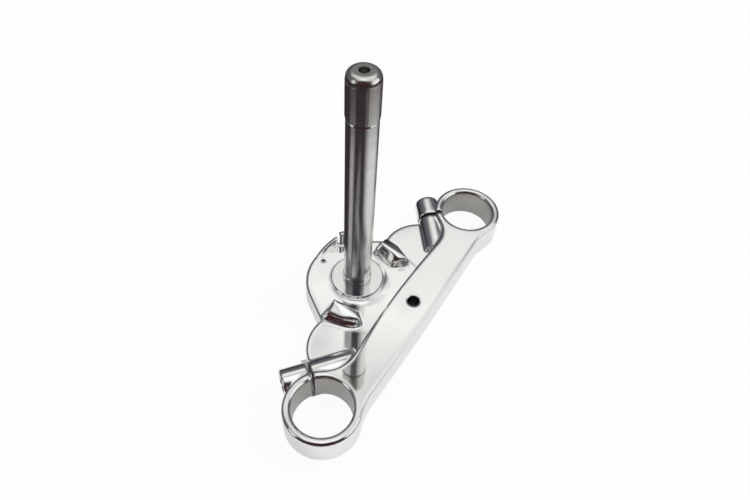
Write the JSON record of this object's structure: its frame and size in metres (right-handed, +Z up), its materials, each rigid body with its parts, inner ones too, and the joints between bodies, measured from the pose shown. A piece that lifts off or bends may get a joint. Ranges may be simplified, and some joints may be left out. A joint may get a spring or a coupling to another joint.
{
  "type": "motorcycle lower triple clamp with steering stem",
  "caption": "Polished lower triple clamp with split rings for the fork tubes, a cross bar, steering stops and a pressed-in threaded steering stem.",
  "frame": {"origin": "on the stem's axis, in the plane of the flat underside", "axes": "+Z up the stem, -Y forward towards the fork tubes, X along the bar"},
  "size_m": [0.3106, 0.1265, 0.241],
  "materials": {
    "polished_aluminium": "mirror polished, with satin machined bores",
    "turned_steel": "turned satin steel, with a darker threaded end",
    "shield_steel": "polished"
  },
  "bodies": {
    "root": {"lower_clamp": "polished_aluminium", "steering_stem": "turned_steel", "dust_shield": "shield_steel"}
  },
  "joints": []
}
